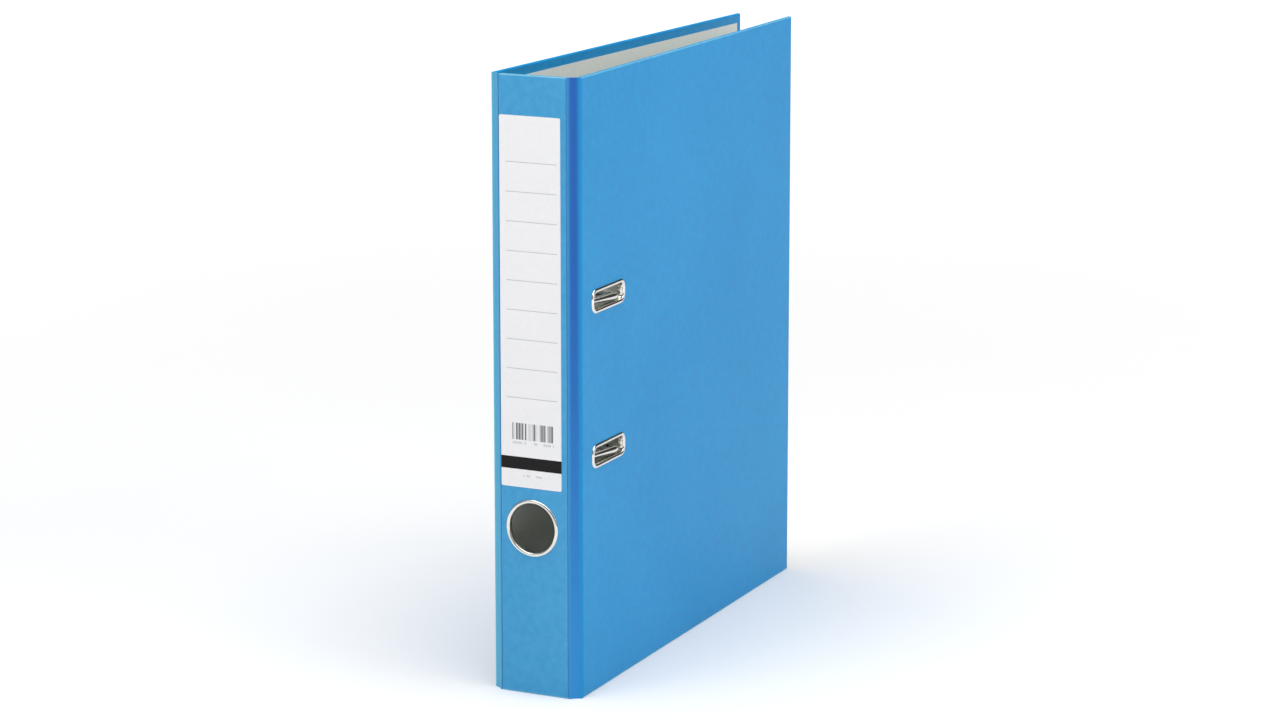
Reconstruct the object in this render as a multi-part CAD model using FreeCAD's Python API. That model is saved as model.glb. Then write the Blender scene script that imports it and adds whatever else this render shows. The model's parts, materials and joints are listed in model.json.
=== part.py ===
import FreeCAD, Part
import math
import os

from FreeCAD import Vector

# A lever arch file standing closed on its bottom edges, in millimetres.
# X runs across the thickness: back cover at -X, front cover with its two slots at +X.
# Y runs along the depth, from the spine (low Y) to the fore-edges (high Y). Z is up.
# While the pieces are made, Y is measured from the outer face of the spine and X from
# the middle of the spine. save_all() then puts the origin at the centre of the footprint.

# ---- casing -------------------------------------------------------------------------
height = 318.0            # covers and spine, bottom to top
outer_thickness = 50.4    # over both covers, beside the spine
cover_length = 283.0      # cover crease to fore-edge
spine_flat = 39.0         # between the two spine creases
joint_depth = 4.3         # how far the cover creases lie behind the spine's face
front_lean = 3.3          # degrees the empty front cover leans inwards

board_thickness = 1.8
covering_thickness = 0.3
lining_thickness = 0.2
strip_thickness = 0.8     # covering and lining glued together at the joints
crease_gap = 0.1          # clear of each crease's round edge
edge_round = 0.8          # rounding of the covered board edges
fold_round = 0.4          # tighter rounding where the covering folds at the spine
turn_in = 15.0            # covering folded over the inside of the boards
lining_inset = 5.0        # covering left showing round the lining
lining_joint_inset = 1.0

# ---- openings through the casing --------------------------------------------------------
slot_length = 36.2        # clear opening, along the depth
slot_height = 8.5
slot_corner = 2.8
slot_from_crease = 32.4   # cover crease to the middle of a slot
flange_width = 2.1
flange_thickness = 0.8
flange_round = 0.35
tube_wall = 0.6
tube_clearance = 0.1
backing_thickness = 0.6
backing_margin = 3.0      # the inner ring, beyond the tube
finger_hole = 25.7        # clear diameter
finger_flange_width = 2.05
finger_height = 87.2      # finger hole's centre above the floor
finger_offset = -1.1

label_width = 34.4
label_height = 189.6
label_bottom = 108.0
label_offset = -1.4
label_thickness = 0.2
label_corner = 0.8

# ---- lever arch mechanism -----------------------------------------------------------------
mechanism_height = 161.0  # middle of the mechanism above the floor
slot_rise = 1.8           # the slots' middle above the mechanism's middle
hole_spacing = 80.0       # two-hole filing standard
wire = 4.0                # arch wire diameter
plate_length = 120.0
plate_near = 12.0         # plate's near and far edges, from the spine's face
plate_far = 66.0
plate_thickness = 1.2
plate_corner = 6.0
rim_height = 2.4
bead_width = 3.0          # stiffening beads pressed up from the plate
bead_height = 0.8
bead_round = 0.6          # of a bead's upper edge
bead_end_flat = 0.03      # left between the two rounded corners of a bead's end
bead_from_shaft = 6.5     # near bead's middle, beyond the arch shaft
bead_from_posts = 9.0     # far beads' middle, before the posts
bead_end = 12.0           # beads stop short of the plate's ends
bead_spring_gap = 6.0     # far beads stop short of the spring
shaft_depth = 18.0        # arch shaft, from the spine's face
shaft_height = 4.5        # above the plate's top
post_depth = 52.0
post_margin = 0.2         # upper post's radius beyond the wire's
post_shoulder = 0.2       # lower post's radius beyond the upper's
post_shoulder_gap = 1.3   # shoulder above the compressor bar at rest
post_below_crown = 13.5   # post's end below the crown line
post_foot_margin = 1.5     # foot beyond the post
post_foot_height = 1.5
post_cone_edge = 0.2       # flat left round the cone
post_cone_top = 0.6
tip_gap = 0.3             # between the post and the arch above it
crown_proud = 1.6         # crown line beyond the front cover, where it meets the posts
crown_fall = 5.4          # crown line from the posts down to the shaft
crown_near_bend = 14.0
crown_far_bend = 6.0
wire_bend = 4.0           # at the shaft and crank corners
crank_throw = 13.0
crank_half = 12.0         # crank arms either side of the middle
bearing_place = 30.0      # shaft bearings either side of the middle
bearing_length = 5.0
bearing_wall = 1.6
running_gap = 0.06        # radial, shaft and pins in their holes

lever_width = 12.0
lever_wall = 1.0
lever_crank_gap = 0.5     # lever's edges over the crank arms
lever_pivot = 22.0        # beyond the middle of the mechanism
lever_heel = 4.4
roller_from_pivot = 14.0
roller_radius = 3.5
roller_gap = 0.15         # roller over the crank
roller_head_gap = 0.55    # roller under the lever's top
roller_width = 8.0
roller_pin = 2.4
axle = 4.0
axle_head = 6.4
axle_head_length = 1.0
lug_wall = 1.2
lug_gap = 0.4
lug_width = 8.0
grip_length = 26.0
grip_width = 15.0
grip_height = 9.0
grip_end_gap = 2.0        # grip's tip clear of the lower arch
grip_cap = 2.0            # moulding beyond the lever's steel
grip_round = 2.2

spring_width = 12.0
spring_thickness = 0.7
spring_gap = 0.15         # under the crank
spring_anchor = 48.0      # far end, from the spine's face
spring_flat = 9.0
spring_rivet = 3.0
spring_rivet_head = 5.5
spring_rivet_head_height = 1.2

bar_low = 7.0             # compressor bar above the plate's top, at rest
bar_thickness = 1.2
bar_width = 14.0
bar_overhang = 8.0        # beyond each post
bar_lip = 3.0
bar_grip_length = 30.0
bar_hole_gap = 0.15

rivet = 4.0
rivet_head = 8.0
rivet_head_height = 0.6
rivet_tail = 6.0
rivet_tail_height = 0.8
rivet_washer = 10.0
rivet_washer_thickness = 0.4
rivet_margin = 6.0        # rivet centres inside the plate's ends and edges
rivet_clearance = 0.1

# ---- values worked out from the ones above --------------------------------------------------
half_thickness = outer_thickness / 2
rim_thickness = 2 * covering_thickness + board_thickness
panel_thickness = rim_thickness + lining_thickness
strip_radius = strip_thickness / 2
spine_crease_x = spine_flat / 2
spine_crease_y = strip_radius
cover_crease_x = half_thickness - strip_radius
cover_crease_y = joint_depth
cover_near = cover_crease_y + strip_radius + crease_gap
cover_far = cover_crease_y + cover_length
spine_half = spine_crease_x - strip_radius - crease_gap

slot_middle = cover_crease_y + slot_from_crease
slot_heights = {
    "upper": mechanism_height + slot_rise + hole_spacing / 2,
    "lower": mechanism_height + slot_rise - hole_spacing / 2,
}
tube_length = slot_length + 2 * tube_wall
tube_height = slot_height + 2 * tube_wall
tube_corner = slot_corner + tube_wall

plate_x = -half_thickness + panel_thickness
plate_top = plate_x + plate_thickness
wire_radius = wire / 2
post_radius = wire_radius + post_margin
low_post_radius = post_radius + post_shoulder
post_cone_height = wire_radius - post_cone_edge - post_cone_top
shoulder_height = bar_low + bar_thickness + post_shoulder_gap
crank_depth = shaft_depth + crank_throw
pivot_z = mechanism_height + lever_pivot
lever_pivot_height = shaft_height + wire_radius + roller_gap + roller_radius
lever_low = shaft_height + wire_radius + lever_crank_gap
lever_high = lever_pivot_height + roller_radius + roller_head_gap + lever_wall
pivot_x = plate_top + lever_pivot_height
roller_z = pivot_z - roller_from_pivot
shaft_x = plate_top + shaft_height
lug_inside = lever_width / 2 + lug_gap
lug_outside = lug_inside + lug_wall
grip_tip_z = mechanism_height - hole_spacing / 2 + wire_radius + grip_end_gap
lever_tip_z = grip_tip_z + grip_cap

lean_slope = math.tan(math.radians(front_lean))
front_face_at_posts = half_thickness - (post_depth - cover_crease_y) * lean_slope
crown_far_height = front_face_at_posts + crown_proud - wire_radius - plate_top
crown_near_height = crown_far_height - crown_fall
post_height = crown_far_height - post_below_crown


# ---- shapes used by several pieces ------------------------------------------------------------
def box(low, high):
    """A block between two corners, given in either order."""
    low_corner = Vector(*[min(pair) for pair in zip(low, high)])
    size = [abs(b - a) for a, b in zip(low, high)]
    return Part.makeBox(size[0], size[1], size[2], low_corner)


def rounded_box(low, high, radius):
    solid = box(low, high)
    return solid.makeFillet(radius, solid.Edges)


def rod(radius, start, end):
    axis = end - start
    return Part.makeCylinder(radius, axis.Length, start, axis)


def rounded_prism(x_low, x_high, centre, length, tall, corner):
    """A block along X with a rounded rectangle for its outline in Y and Z."""
    near = centre.y - length / 2
    bottom = centre.z - tall / 2
    solid = box((x_low, near, bottom), (x_high, near + length, bottom + tall))
    along_x = [e for e in solid.Edges if abs(e.tangentAt(e.FirstParameter).x) > 0.99]
    return solid.makeFillet(corner, along_x)


def union(shapes):
    return shapes[0].multiFuse(shapes[1:]).removeSplitter()


def lean_front(shape):
    """Swing a piece of the front cover inwards about its crease."""
    leaned = shape.copy()
    leaned.rotate(Vector(cover_crease_x, cover_crease_y, 0), Vector(0, 0, 1), front_lean)
    return leaned


def slab(side, depths, near, far, low, high):
    """A layer of a cover. side is +1 at the front and -1 at the back, and depths are
    measured inwards from the cover's outer face."""
    outside = side * (half_thickness - depths[0])
    inside = side * (half_thickness - depths[1])
    return box((outside, near, low), (inside, far, high))


def slot_prism(x_low, x_high, level, grow):
    centre = Vector(0, slot_middle, level)
    length = slot_length + 2 * grow
    tall = slot_height + 2 * grow
    return rounded_prism(x_low, x_high, centre, length, tall, slot_corner + grow)


def slot_holes():
    """Clearance for the eyelets' tubes through the front cover."""
    grow = tube_wall + tube_clearance
    inside = half_thickness - 2 * panel_thickness
    return [slot_prism(inside, half_thickness + 1, z, grow) for z in slot_heights.values()]


def rivet_places():
    half = plate_length / 2 - rivet_margin
    return [
        Vector(0, y, mechanism_height + sign * half)
        for y in (plate_near + rivet_margin, plate_far - rivet_margin)
        for sign in (-1, 1)
    ]


def rivet_holes():
    radius = rivet / 2 + rivet_clearance
    start = -half_thickness - 1
    return [
        rod(radius, Vector(start, p.y, p.z), Vector(plate_top + 1, p.y, p.z))
        for p in rivet_places()
    ]


# ---- covers ---------------------------------------------------------------------------------------
def rounded_slab(side, depths, inset, radius):
    solid = slab(side, depths, cover_near + inset, cover_far - inset, inset, height - inset)
    return solid.makeFillet(radius, solid.Edges)


def cover_board(side, holes):
    depths = (covering_thickness, covering_thickness + board_thickness)
    board_round = edge_round - covering_thickness
    return rounded_slab(side, depths, covering_thickness, board_round).cut(holes)


def cover_covering(side, holes):
    """The coloured sheet: outer face, edges and the turn-ins on the inner face."""
    skin = rounded_slab(side, (0, rim_thickness), 0, edge_round)
    depths = (rim_thickness - covering_thickness, rim_thickness + 1)
    window = slab(side, depths, cover_near + turn_in, cover_far - turn_in, turn_in, height - turn_in)
    return skin.cut([cover_board(side, []), window] + holes)


def cover_lining(side, holes):
    """The inside paper. It fills the space between the turn-ins and laps over them."""
    pad_depths = (rim_thickness - covering_thickness, rim_thickness)
    pad = slab(side, pad_depths, cover_near + turn_in, cover_far - turn_in, turn_in, height - turn_in)
    sheet_depths = (rim_thickness, panel_thickness)
    near = cover_near + lining_joint_inset
    far = cover_far - lining_inset
    sheet = slab(side, sheet_depths, near, far, lining_inset, height - lining_inset)
    return union([pad, sheet]).cut(holes)


# ---- spine and joints -----------------------------------------------------------------------------
def finger_hole_cut():
    radius = finger_hole / 2 + tube_wall + tube_clearance
    start = Vector(finger_offset, -1, finger_height)
    return rod(radius, start, start + Vector(0, 2 * panel_thickness, 0))


def spine_block(near, far, inset, turn_radius, fold_radius):
    """A layer of the spine, with tighter rounding along its two upright sides."""
    half = spine_half - inset
    solid = box((-half, near, inset), (half, far, height - inset))
    upright = [e for e in solid.Edges if abs(e.tangentAt(e.FirstParameter).z) > 0.99]
    solid = solid.makeFillet(fold_radius, upright)
    ends = [e for e in solid.Edges if e.BoundBox.ZLength < 0.001]
    return solid.makeFillet(min(turn_radius, fold_radius), ends)


def spine_board():
    inner_fold = fold_round - covering_thickness
    inside = covering_thickness + board_thickness
    block = spine_block(covering_thickness, inside, covering_thickness, inner_fold, inner_fold)
    return block.cut(finger_hole_cut())


def spine_covering():
    skin = spine_block(0, rim_thickness, 0, fold_round, fold_round)
    inner_fold = fold_round - covering_thickness
    inside = covering_thickness + board_thickness
    core = spine_block(covering_thickness, inside, covering_thickness, inner_fold, inner_fold)
    half = spine_half - covering_thickness
    window = box((-half, inside, turn_in), (half, rim_thickness + 1, height - turn_in))
    return skin.cut([core, window, finger_hole_cut()])


def spine_lining():
    inside = covering_thickness + board_thickness
    half = spine_half - covering_thickness
    pad = box((-half, inside, turn_in), (half, rim_thickness, height - turn_in))
    sheet = box((-half, rim_thickness, lining_inset), (half, panel_thickness, height - lining_inset))
    return union([pad, sheet]).cut(finger_hole_cut())


def joint_strip(side):
    """The hinge of one cover: a strip with a round edge on each crease."""
    start = Vector(side * spine_crease_x, spine_crease_y, 0)
    end = Vector(side * cover_crease_x, cover_crease_y, 0)
    along = (end - start).normalize()
    across = Vector(-along.y, along.x, 0) * strip_radius
    flat_a = Part.LineSegment(start - across, end - across).toShape()
    tip_a = Part.Arc(end - across, end + along * strip_radius, end + across).toShape()
    flat_b = Part.LineSegment(end + across, start + across).toShape()
    tip_b = Part.Arc(start + across, start - along * strip_radius, start - across).toShape()
    outline = Part.Face(Part.Wire([flat_a, tip_a, flat_b, tip_b]))
    return outline.extrude(Vector(0, 0, height))


def spine_label():
    left = label_offset - label_width / 2
    low = (left, -label_thickness, label_bottom)
    high = (left + label_width, 0, label_bottom + label_height)
    solid = box(low, high)
    across = [e for e in solid.Edges if abs(e.tangentAt(e.FirstParameter).y) > 0.99]
    return solid.makeFillet(label_corner, across)


# ---- metal rings in the casing --------------------------------------------------------------------
def slot_eyelet(level):
    """A rolled flange on the outer face with a tube through the cover."""
    flange_top = half_thickness + flange_thickness
    flange = slot_prism(half_thickness, flange_top, level, flange_width)
    inside = half_thickness - panel_thickness - backing_thickness
    tube = slot_prism(inside, half_thickness, level, tube_wall)
    opening = slot_prism(inside - 1, flange_top + 1, level, 0)
    eyelet = union([flange, tube]).cut(opening)
    top_edges = [e for e in eyelet.Edges if e.BoundBox.XMin > flange_top - 0.001]
    return eyelet.makeFillet(flange_round, top_edges)


def slot_backing(level):
    """The ring on the inner face that the eyelet's tube is set into."""
    outside = half_thickness - panel_thickness
    inside = outside - backing_thickness
    grow = tube_wall + backing_margin / 2
    ring = slot_prism(inside, outside, level, grow)
    return ring.cut(slot_prism(inside - 1, outside + 1, level, tube_wall + tube_clearance))


def finger_ring():
    centre = Vector(finger_offset, 0, finger_height)
    back = Vector(0, 1, 0)
    flange_radius = finger_hole / 2 + finger_flange_width
    tube_radius = finger_hole / 2 + tube_wall
    far = panel_thickness + backing_thickness
    flange = rod(flange_radius, centre - back * flange_thickness, centre)
    tube = rod(tube_radius, centre, centre + back * far)
    opening = rod(finger_hole / 2, centre - back * 2, centre + back * (far + 1))
    ring = union([flange, tube]).cut(opening)
    front_edges = [e for e in ring.Edges if e.BoundBox.YMax < -flange_thickness + 0.001]
    return ring.makeFillet(flange_round, front_edges)


def finger_ring_backing():
    near = Vector(finger_offset, panel_thickness, finger_height)
    far = near + Vector(0, backing_thickness, 0)
    disc = rod(finger_hole / 2 + finger_flange_width, near, far)
    hole_radius = finger_hole / 2 + tube_wall + tube_clearance
    return disc.cut(rod(hole_radius, near - Vector(0, 1, 0), far + Vector(0, 1, 0)))


# ---- mechanism ------------------------------------------------------------------------------------
def bearing(sign):
    """A loop raised from the plate that holds the arch shaft."""
    middle = mechanism_height + sign * bearing_place
    low = middle - bearing_length / 2
    high = middle + bearing_length / 2
    outer = wire_radius + running_gap + bearing_wall
    foot = box((plate_top, shaft_depth - outer, low), (shaft_x, shaft_depth + outer, high))
    loop = rod(outer, Vector(shaft_x, shaft_depth, low), Vector(shaft_x, shaft_depth, high))
    return union([foot, loop])


def lug(sign):
    """One ear of the plate beside the lever, bored for the lever's axle."""
    inside = crank_depth + sign * lug_inside
    outside = crank_depth + sign * lug_outside
    low = pivot_z - lug_width / 2
    foot = box((plate_top, inside, low), (pivot_x, outside, low + lug_width))
    head = rod(lug_width / 2, Vector(pivot_x, inside, pivot_z), Vector(pivot_x, outside, pivot_z))
    return union([foot, head])


def bead(depth, low, high):
    """A stiffening bead along the plate, with a softened top."""
    middle = Vector(0, depth, (low + high) / 2)
    bead_top = plate_top + bead_height
    corner = (bead_width - bead_end_flat) / 2
    ridge = rounded_prism(plate_top, bead_top, middle, bead_width, high - low, corner)
    rim = [e for e in ridge.Edges if e.BoundBox.XMin > bead_top - 0.001]
    return ridge.makeFillet(bead_round, rim)


def beads():
    """One bead beside the shaft, and two before the posts with the spring between them."""
    reach = plate_length / 2 - bead_end
    near = bead(shaft_depth + bead_from_shaft, mechanism_height - reach, mechanism_height + reach)
    depth = post_depth - bead_from_posts
    start = spring_width / 2 + bead_spring_gap
    lower = bead(depth, mechanism_height - reach, mechanism_height - start)
    upper = bead(depth, mechanism_height + start, mechanism_height + reach)
    return [near, lower, upper]


def base_plate():
    middle = Vector(0, (plate_near + plate_far) / 2, mechanism_height)
    width = plate_far - plate_near
    sheet = rounded_prism(plate_x, plate_top, middle, width, plate_length, plate_corner)
    low = mechanism_height - plate_length / 2 + plate_corner
    high = mechanism_height + plate_length / 2 - plate_corner
    rim_top = plate_top + rim_height
    near_rim = box((plate_x, plate_near, low), (rim_top, plate_near + plate_thickness, high))
    far_rim = box((plate_x, plate_far - plate_thickness, low), (rim_top, plate_far, high))
    raised = [bearing(-1), bearing(1), lug(-1), lug(1)] + beads()
    plate = union([sheet, near_rim, far_rim] + raised)
    shaft_bore = rod(
        wire_radius + running_gap,
        Vector(shaft_x, shaft_depth, low - 1),
        Vector(shaft_x, shaft_depth, high + 1),
    )
    axle_bore = rod(
        axle / 2 + tube_clearance,
        Vector(pivot_x, crank_depth - lug_outside - 1, pivot_z),
        Vector(pivot_x, crank_depth + lug_outside + 1, pivot_z),
    )
    return plate.cut([shaft_bore, axle_bore] + rivet_holes())


def post(level):
    """A fixed post, thicker under the compressor bar's rest, with a cone that centres
    the arch on its end."""
    foot_start = Vector(plate_top, post_depth, level)
    along = Vector(1, 0, 0)
    foot_radius = low_post_radius + post_foot_margin
    foot = rod(foot_radius, foot_start, foot_start + along * post_foot_height)
    lower = rod(low_post_radius, foot_start, foot_start + along * shoulder_height)
    upper = rod(post_radius, foot_start, foot_start + along * post_height)
    cone_start = foot_start + along * post_height
    cone = Part.makeCone(
        post_cone_top + post_cone_height, post_cone_top, post_cone_height, cone_start, along
    )
    return union([foot, lower, upper, cone])


def bent_wire(points, radii, wire_size):
    """A round wire along straight runs, with an arc of the given radius at each corner."""
    edges = []
    start = points[0]
    for before, corner, after, radius in zip(points, points[1:], points[2:], radii):
        into = (corner - before).normalize()
        out = (after - corner).normalize()
        turn = into.getAngle(out)
        trim = radius * math.tan(turn / 2)
        arc_start = corner - into * trim
        arc_end = corner + out * trim
        inward = (out - into).normalize()
        sag = radius / math.cos(turn / 2) - radius
        arc_middle = corner + inward * sag
        edges.append(Part.LineSegment(start, arc_start).toShape())
        edges.append(Part.Arc(arc_start, arc_middle, arc_end).toShape())
        start = arc_end
    edges.append(Part.LineSegment(start, points[-1]).toShape())
    path = Part.Wire(edges)
    first = (points[1] - points[0]).normalize()
    section = Part.Wire(Part.makeCircle(wire_size / 2, points[0], first))
    return path.makePipeShell([section], True, False)


def arch_side(sign):
    """Corner points of one arch, from its tip over the post down to the shaft."""
    level = mechanism_height + sign * hole_spacing / 2
    tip = plate_top + post_height + tip_gap
    return [
        Vector(tip, post_depth, level),
        Vector(plate_top + crown_far_height, post_depth, level),
        Vector(plate_top + crown_near_height, shaft_depth, level),
        Vector(shaft_x, shaft_depth, level),
    ]


def arch_wire():
    """Both arches, their shaft and the crank between them, bent from one wire."""
    crank = [
        Vector(shaft_x, shaft_depth, mechanism_height + crank_half),
        Vector(shaft_x, crank_depth, mechanism_height + crank_half),
        Vector(shaft_x, crank_depth, mechanism_height - crank_half),
        Vector(shaft_x, shaft_depth, mechanism_height - crank_half),
    ]
    points = arch_side(1) + crank + arch_side(-1)[::-1]
    side_radii = [crown_far_bend, crown_near_bend, wire_bend]
    radii = side_radii + [wire_bend] * len(crank) + side_radii[::-1]
    wire_solid = bent_wire(points, radii, wire)
    along = Vector(1, 0, 0)
    sockets = []
    for sign in (-1, 1):
        mouth = arch_side(sign)[0] - along * tip_gap
        wide = post_cone_top + post_cone_height + tip_gap
        sockets.append(Part.makeCone(wide, post_cone_top, post_cone_height + tip_gap, mouth, along))
    return wire_solid.cut(sockets)


def lever_arm():
    """A pressed steel channel, open towards the plate."""
    near = crank_depth - lever_width / 2
    far = crank_depth + lever_width / 2
    low = plate_top + lever_low
    high = plate_top + lever_high
    top_z = pivot_z + lever_heel
    channel = box((low, near, lever_tip_z), (high, far, top_z))
    corners = [
        e for e in channel.Edges
        if abs(e.tangentAt(e.FirstParameter).z) > 0.99 and e.BoundBox.XMin > high - 0.001
    ]
    channel = channel.makeFillet(lever_wall, corners)
    hollow = box((low - 1, near + lever_wall, lever_tip_z - 1),
                 (high - lever_wall, far - lever_wall, top_z + 1))
    bores = [
        rod(axle / 2 + running_gap, Vector(pivot_x, near - 1, pivot_z), Vector(pivot_x, far + 1, pivot_z)),
        rod(roller_pin / 2, Vector(pivot_x, near - 1, roller_z), Vector(pivot_x, far + 1, roller_z)),
    ]
    return channel.cut([hollow] + bores)


def lever_grip():
    """The moulded thumb piece pushed over the lever's end."""
    middle_x = plate_top + (lever_low + lever_high) / 2 + (grip_height - lever_high + lever_low) / 2
    end_z = grip_tip_z + grip_length
    low = (middle_x - grip_height / 2, crank_depth - grip_width / 2, grip_tip_z)
    high = (middle_x + grip_height / 2, crank_depth + grip_width / 2, end_z)
    body = rounded_box(low, high, grip_round)
    pocket = box(
        (plate_top + lever_low, crank_depth - lever_width / 2, lever_tip_z),
        (plate_top + lever_high, crank_depth + lever_width / 2, end_z + 1),
    )
    return body.cut(pocket)


def lever_axle():
    start = Vector(pivot_x, crank_depth - lug_outside, pivot_z)
    end = Vector(pivot_x, crank_depth + lug_outside, pivot_z)
    along = Vector(0, axle_head_length, 0)
    pin = rod(axle / 2, start, end)
    heads = [rod(axle_head / 2, start - along, start), rod(axle_head / 2, end, end + along)]
    return union([pin] + heads)


def cam_roller():
    half = roller_width / 2
    start = Vector(pivot_x, crank_depth - half, roller_z)
    end = Vector(pivot_x, crank_depth + half, roller_z)
    body = rod(roller_radius, start, end)
    body = body.makeFillet(0.5, [e for e in body.Edges if e.Closed and e.Length > 15])
    return body.cut(rod(roller_pin / 2 + running_gap, start, end))


def roller_pin_piece():
    half = lever_width / 2
    start = Vector(pivot_x, crank_depth - half, roller_z)
    return rod(roller_pin / 2, start, start + Vector(0, lever_width, 0))


def arch_spring():
    """A leaf that lies under the crank and lifts it when the lever rises."""
    crank_under = shaft_height - wire_radius - spring_gap
    low = [
        (spring_anchor, 0),
        (spring_anchor - spring_flat, 0),
        (crank_depth + wire_radius, crank_under - spring_thickness),
        (crank_depth - wire_radius, crank_under - spring_thickness),
    ]
    high = [(y, h + spring_thickness) for y, h in reversed(low)]
    z = mechanism_height - spring_width / 2
    points = [Vector(plate_top + h, y, z) for y, h in low + high]
    outline = Part.Face(Part.makePolygon(points + points[:1]))
    leaf = outline.extrude(Vector(0, 0, spring_width))
    return leaf.cut(spring_rivet_shank())


def spring_rivet_place():
    return Vector(plate_top, spring_anchor - spring_flat / 2, mechanism_height)


def spring_rivet_shank():
    place = spring_rivet_place()
    return rod(spring_rivet / 2, place, place + Vector(spring_thickness, 0, 0))


def spring_rivet_piece():
    top = spring_rivet_place() + Vector(spring_thickness, 0, 0)
    head = rod(spring_rivet_head / 2, top, top + Vector(spring_rivet_head_height, 0, 0))
    head = head.makeFillet(0.5, [e for e in head.Edges if e.BoundBox.XMin > top.x + 0.5 and e.Closed])
    return union([spring_rivet_shank(), head])


def compressor_bar():
    """A flat bar that slides on the posts and holds the paper down."""
    low_x = plate_top + bar_low
    length = hole_spacing + 2 * bar_overhang
    middle = Vector(0, post_depth, mechanism_height)
    bar = rounded_prism(low_x, low_x + bar_thickness, middle, bar_width, length, 4.0)
    near = post_depth - bar_width / 2
    lip = box(
        (low_x, near, mechanism_height - bar_grip_length / 2),
        (low_x + bar_thickness + bar_lip, near + bar_thickness, mechanism_height + bar_grip_length / 2),
    )
    hole_radius = low_post_radius + bar_hole_gap
    holes = [
        rod(hole_radius, Vector(low_x - 1, post_depth, z), Vector(low_x + 3, post_depth, z))
        for z in post_levels().values()
    ]
    return union([bar, lip]).cut(holes)


def post_levels():
    return {
        "upper": mechanism_height + hole_spacing / 2,
        "lower": mechanism_height - hole_spacing / 2,
    }


def base_rivets():
    """Four rivets through the plate and the back cover."""
    solids = []
    outer = -half_thickness - rivet_washer_thickness
    for p in rivet_places():
        head_end = Vector(outer - rivet_head_height, p.y, p.z)
        head = rod(rivet_head / 2, head_end, Vector(outer, p.y, p.z))
        rim = [e for e in head.Edges if e.BoundBox.XMax < head_end.x + 0.001]
        head = head.makeFillet(rivet_head_height * 0.8, rim)
        shank = rod(rivet / 2, Vector(outer, p.y, p.z), Vector(plate_top, p.y, p.z))
        tail_end = Vector(plate_top + rivet_tail_height, p.y, p.z)
        tail = rod(rivet_tail / 2, Vector(plate_top, p.y, p.z), tail_end)
        solids.append(union([head, shank, tail]))
    return Part.makeCompound(solids)


def rivet_washers():
    solids = []
    outer = -half_thickness - rivet_washer_thickness
    for p in rivet_places():
        disc = rod(rivet_washer / 2, Vector(outer, p.y, p.z), Vector(-half_thickness, p.y, p.z))
        hole = rod(rivet / 2 + rivet_clearance, Vector(outer - 1, p.y, p.z), Vector(0, p.y, p.z))
        solids.append(disc.cut(hole))
    return Part.makeCompound(solids)


# ---- all the pieces -------------------------------------------------------------------------------
def casing_pieces():
    back_holes = rivet_holes()
    front_holes = slot_holes()
    pieces = {
        "back_board": cover_board(-1, back_holes),
        "back_covering": cover_covering(-1, back_holes),
        "back_lining": cover_lining(-1, back_holes),
        "back_joint_strip": joint_strip(-1),
        "spine_board": spine_board(),
        "spine_covering": spine_covering(),
        "spine_lining": spine_lining(),
        "spine_label": spine_label(),
        "finger_ring": finger_ring(),
        "finger_ring_backing": finger_ring_backing(),
        "front_joint_strip": joint_strip(1),
        "front_board": lean_front(cover_board(1, front_holes)),
        "front_covering": lean_front(cover_covering(1, front_holes)),
        "front_lining": lean_front(cover_lining(1, front_holes)),
    }
    for place, level in slot_heights.items():
        pieces["slot_eyelet_" + place] = lean_front(slot_eyelet(level))
        pieces["slot_backing_" + place] = lean_front(slot_backing(level))
    return pieces


def mechanism_pieces():
    pieces = {
        "base_plate": base_plate(),
        "arch_wire": arch_wire(),
        "lever_arm": lever_arm(),
        "lever_grip": lever_grip(),
        "lever_axle": lever_axle(),
        "cam_roller": cam_roller(),
        "roller_pin": roller_pin_piece(),
        "arch_spring": arch_spring(),
        "spring_rivet": spring_rivet_piece(),
        "compressor_bar": compressor_bar(),
        "base_rivets": base_rivets(),
        "rivet_washers": rivet_washers(),
    }
    for place, level in post_levels().items():
        pieces["post_" + place] = post(level)
    return pieces


def save_all(pieces):
    """Put the origin at the centre of the footprint and write one file per piece."""
    os.makedirs("parts", exist_ok=True)
    bounds = Part.makeCompound(list(pieces.values())).BoundBox
    shift = Vector(-bounds.Center.x, -bounds.Center.y, -bounds.ZMin)
    for name, shape in pieces.items():
        moved = shape.copy()
        moved.translate(shift)
        moved.exportStep(os.path.join("parts", name + ".step"))
    print("pieces", len(pieces))
    print("size", round(bounds.XLength, 2), round(bounds.YLength, 2), round(bounds.ZLength, 2))
    print("shift", round(shift.x, 4), round(shift.y, 4), round(shift.z, 4))
    return shift


pieces = casing_pieces()
pieces.update(mechanism_pieces())
shift = save_all(pieces)
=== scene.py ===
# %% [markdown]
# # A lever arch file, finished in Blender
#
# The file's size, its pieces and its hinges come from a packed CAD model, which is loaded
# first and never changed. This script gives every piece its finish, and remakes the few
# pieces whose rolled or moulded shapes are easier to build with mesh operators. Lengths
# are in metres, with +X towards the slotted front cover, +Y from the spine to the open
# edges and +Z up.

import json
import math

import bmesh
import bpy
from mathutils import Matrix, Vector


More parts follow.
